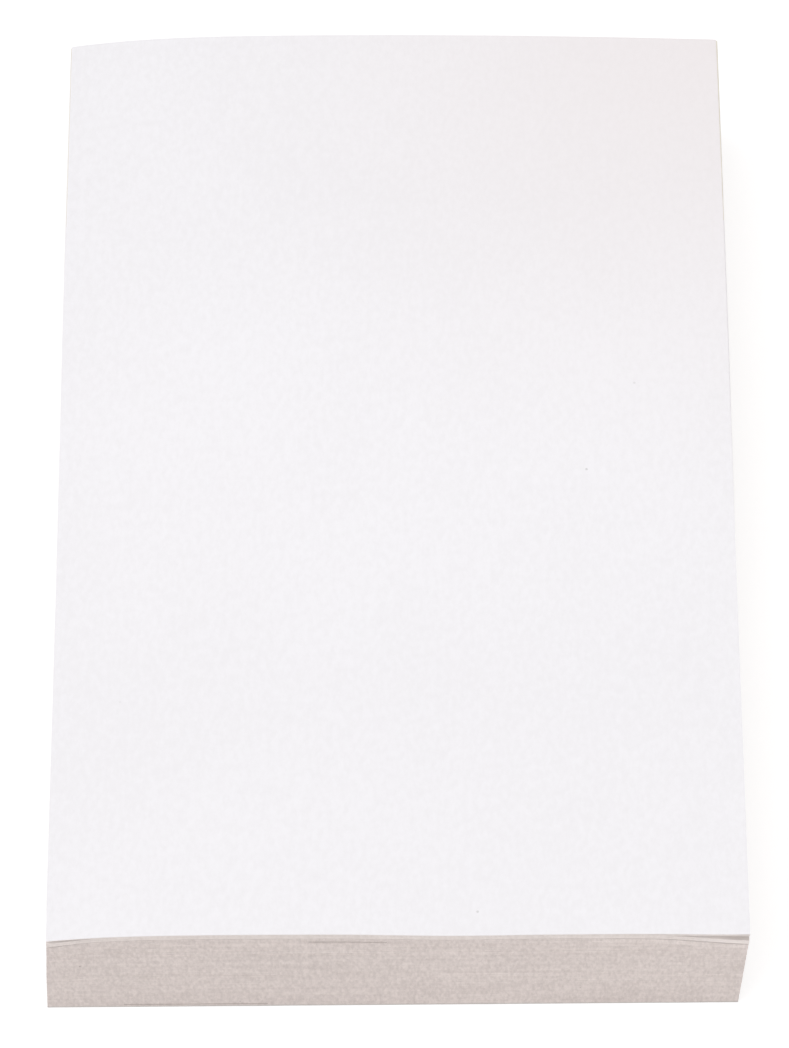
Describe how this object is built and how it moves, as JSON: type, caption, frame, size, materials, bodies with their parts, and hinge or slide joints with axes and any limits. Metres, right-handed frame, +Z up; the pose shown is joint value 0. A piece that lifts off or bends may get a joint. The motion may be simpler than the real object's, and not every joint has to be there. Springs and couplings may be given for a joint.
{
  "type": "sticky note pad",
  "caption": "Rectangular pad of blank white sticky notes on a backing sheet, bound by adhesive at the back edge, its loose notes parted at the front corners.",
  "frame": {"origin": "middle of the pad's footprint, on the surface that it lies on", "axes": "+X to the right along the bound edge, +Y from the free front edge to the bound back edge, +Z up through the stack"},
  "size_m": [0.048, 0.073, 0.0127],
  "materials": {
    "note_paper": "smooth uncoated",
    "cut_edge": "guillotined sheet edges",
    "backing_paper": "smooth release coating",
    "adhesive": "tacky film"
  },
  "bodies": {
    "root": {"backing_sheet": "backing_paper", "block_adhesive": "adhesive", "note_block": "cut_edge", "group_adhesive": "adhesive", "note_group": "cut_edge", "top_adhesive": "adhesive", "top_note": "note_paper"}
  },
  "joints": []
}
